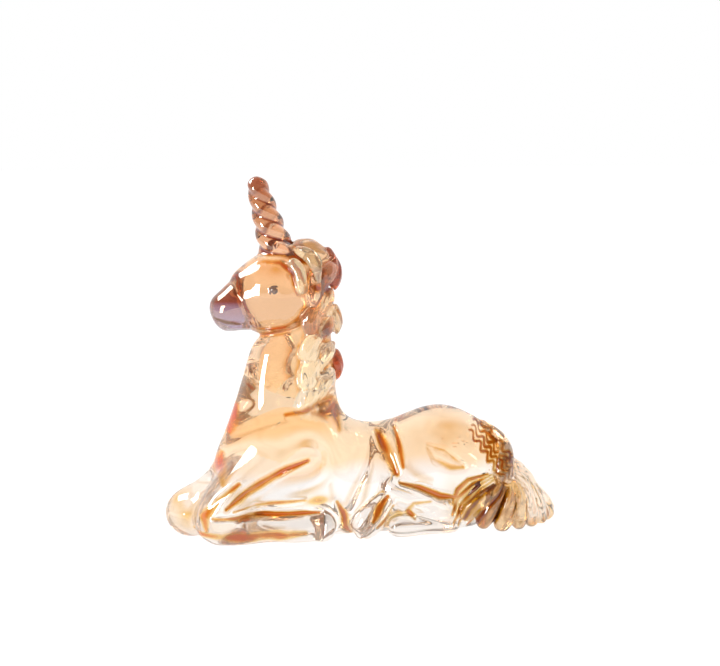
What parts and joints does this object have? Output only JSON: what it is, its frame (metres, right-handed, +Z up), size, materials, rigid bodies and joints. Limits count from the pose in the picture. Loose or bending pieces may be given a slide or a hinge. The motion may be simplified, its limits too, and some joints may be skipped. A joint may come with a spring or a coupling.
{
  "type": "unicorn figurine",
  "caption": "Resting unicorn ornament in solid lustred glass, with a twisted horn, wavy mane, folded legs and a fanned tail, standing on its flat ground underside.",
  "frame": {"origin": "on the flat underside, below the middle of the body", "axes": "the unicorn looks along -X, its left side is -Y, +Z is up"},
  "size_m": [0.1295, 0.043, 0.115],
  "materials": {
    "body_glass": "clear glass with an amber lustre film",
    "leg_glass": "clear glass with a thin amber lustre film",
    "muzzle_glass": "dark copper lustre with a violet sheen",
    "horn_glass": "rose copper lustre on glass",
    "mane_glass": "peach and copper lustre on glass",
    "tail_glass": "golden lustre on glass",
    "eye_glass": "dark grey glass bead"
  },
  "bodies": {
    "root": {"crest_lock_1": "mane_glass", "crest_lock_2": "mane_glass", "crest_lock_3": "mane_glass", "forelock": "mane_glass", "head": "body_glass", "horn": "horn_glass", "left_ear": "mane_glass", "left_eye": "eye_glass", "left_fore_cannon": "leg_glass", "left_fore_hoof": "leg_glass", "left_forearm": "leg_glass", "left_fringe_lock": "mane_glass", "left_gaskin": "leg_glass", "left_haunch": "body_glass", "left_hind_cannon": "leg_glass", "left_hind_hoof": "leg_glass", "left_mane_lock_1": "mane_glass", "left_mane_lock_2": "mane_glass", "left_mane_lock_3": "mane_glass", "left_mane_lock_4": "mane_glass", "left_mane_lock_5": "mane_glass", "left_shoulder": "body_glass", "muzzle": "muzzle_glass", "neck": "body_glass", "right_ear": "mane_glass", "right_eye": "eye_glass", "right_fore_cannon": "leg_glass", "right_fore_hoof": "leg_glass", "right_forearm": "leg_glass", "right_fringe_lock": "mane_glass", "right_gaskin": "leg_glass", "right_haunch": "body_glass", "right_hind_cannon": "leg_glass", "right_hind_hoof": "leg_glass", "right_mane_lock_1": "mane_glass", "right_mane_lock_2": "mane_glass", "right_mane_lock_3": "mane_glass", "right_mane_lock_4": "mane_glass", "right_mane_lock_5": "mane_glass", "right_shoulder": "body_glass", "tail_dock": "tail_glass", "tail_lock_1": "tail_glass", "tail_lock_10": "tail_glass", "tail_lock_2": "tail_glass", "tail_lock_3": "tail_glass", "tail_lock_4": "tail_glass", "tail_lock_5": "tail_glass", "tail_lock_6": "tail_glass", "tail_lock_7": "tail_glass", "tail_lock_8": "tail_glass", "tail_lock_9": "tail_glass", "torso": "body_glass"}
  },
  "joints": []
}
